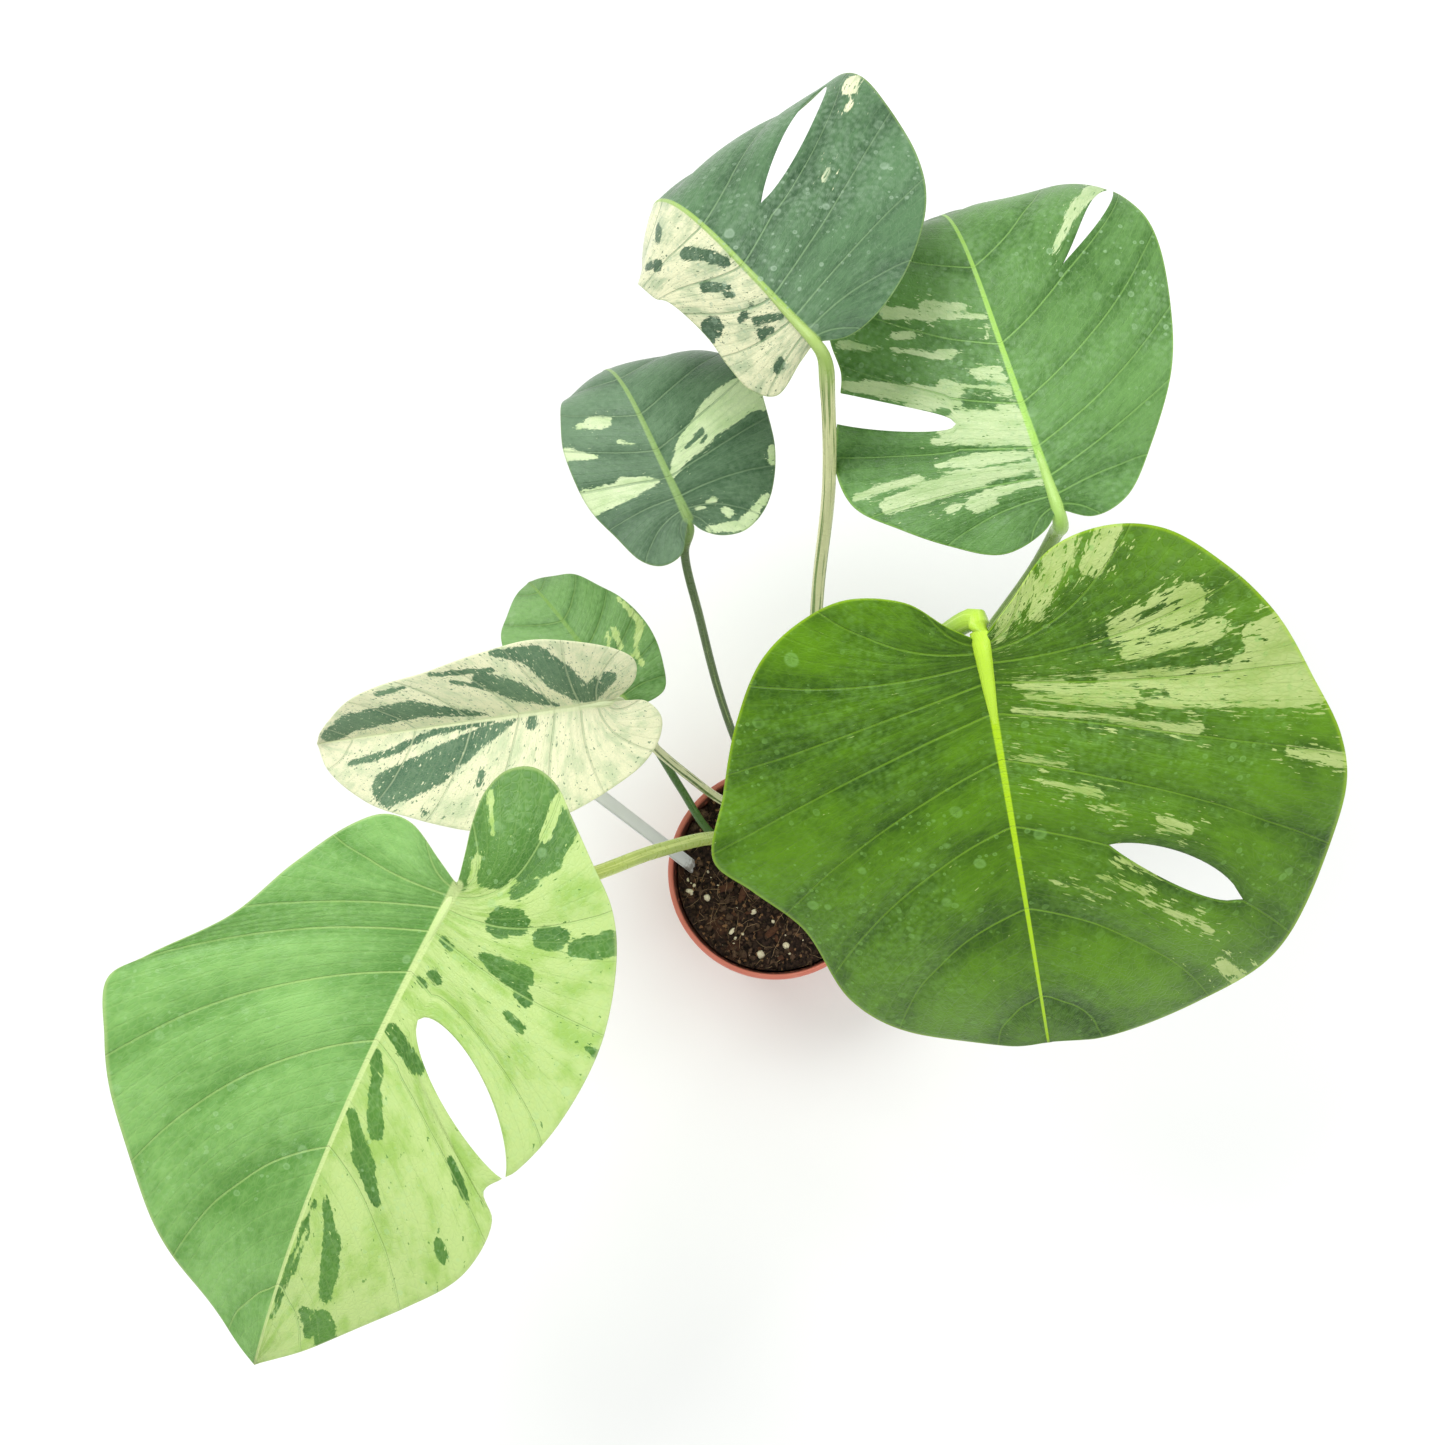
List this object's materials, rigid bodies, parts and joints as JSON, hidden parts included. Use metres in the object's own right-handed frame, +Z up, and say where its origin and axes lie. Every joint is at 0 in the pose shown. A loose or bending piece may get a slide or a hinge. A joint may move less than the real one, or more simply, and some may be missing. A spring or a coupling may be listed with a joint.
{
  "type": "potted monstera plant",
  "caption": "Young variegated monstera with broad split leaves on long petioles, in a tapered plastic nursery pot with soil and a blank plant label.",
  "frame": {"origin": "centre of the pot's flat underside", "axes": "+Z up; +X towards the side of the largest leaf; +Y towards the group of three back leaves"},
  "size_m": [0.5102, 0.578, 0.4415],
  "materials": {
    "pot_plastic": "thin moulded plastic, satin, salmon red",
    "peat": "damp dark brown peat with fibres",
    "label_plastic": "thin milky plastic, blank",
    "stem_skin": "smooth green bark with pale leaf scars",
    "petiole_skin": "smooth waxy skin with cream stripes",
    "blade_green": "waxy leaf skin, green with cream marbling",
    "blade_cream": "waxy leaf skin, cream with green streaks and specks",
    "perlite": "rough porous white grain",
    "bark": "rough dark bark chip"
  },
  "bodies": {
    "root": {"pot": "pot_plastic", "soil": "peat", "plant_label": "label_plastic", "stem": "stem_skin", "petiole_1": "petiole_skin", "petiole_2": "petiole_skin", "petiole_3": "petiole_skin", "petiole_4": "petiole_skin", "petiole_5": "petiole_skin", "petiole_6": "petiole_skin", "petiole_7": "petiole_skin", "leaf_1": "blade_green", "leaf_2": "blade_cream", "leaf_3": "blade_green", "leaf_4": "blade_green", "leaf_5": "blade_green", "leaf_6": "blade_green", "leaf_7": "blade_green", "perlite_1": "perlite", "perlite_2": "perlite", "perlite_3": "perlite", "perlite_4": "perlite", "perlite_5": "perlite", "perlite_6": "perlite", "perlite_7": "perlite", "perlite_8": "perlite", "perlite_9": "perlite", "perlite_10": "perlite", "perlite_11": "perlite", "perlite_12": "perlite", "bark_chip_1": "bark", "bark_chip_2": "bark", "bark_chip_3": "bark", "bark_chip_4": "bark", "bark_chip_5": "bark", "bark_chip_6": "bark"}
  },
  "joints": []
}
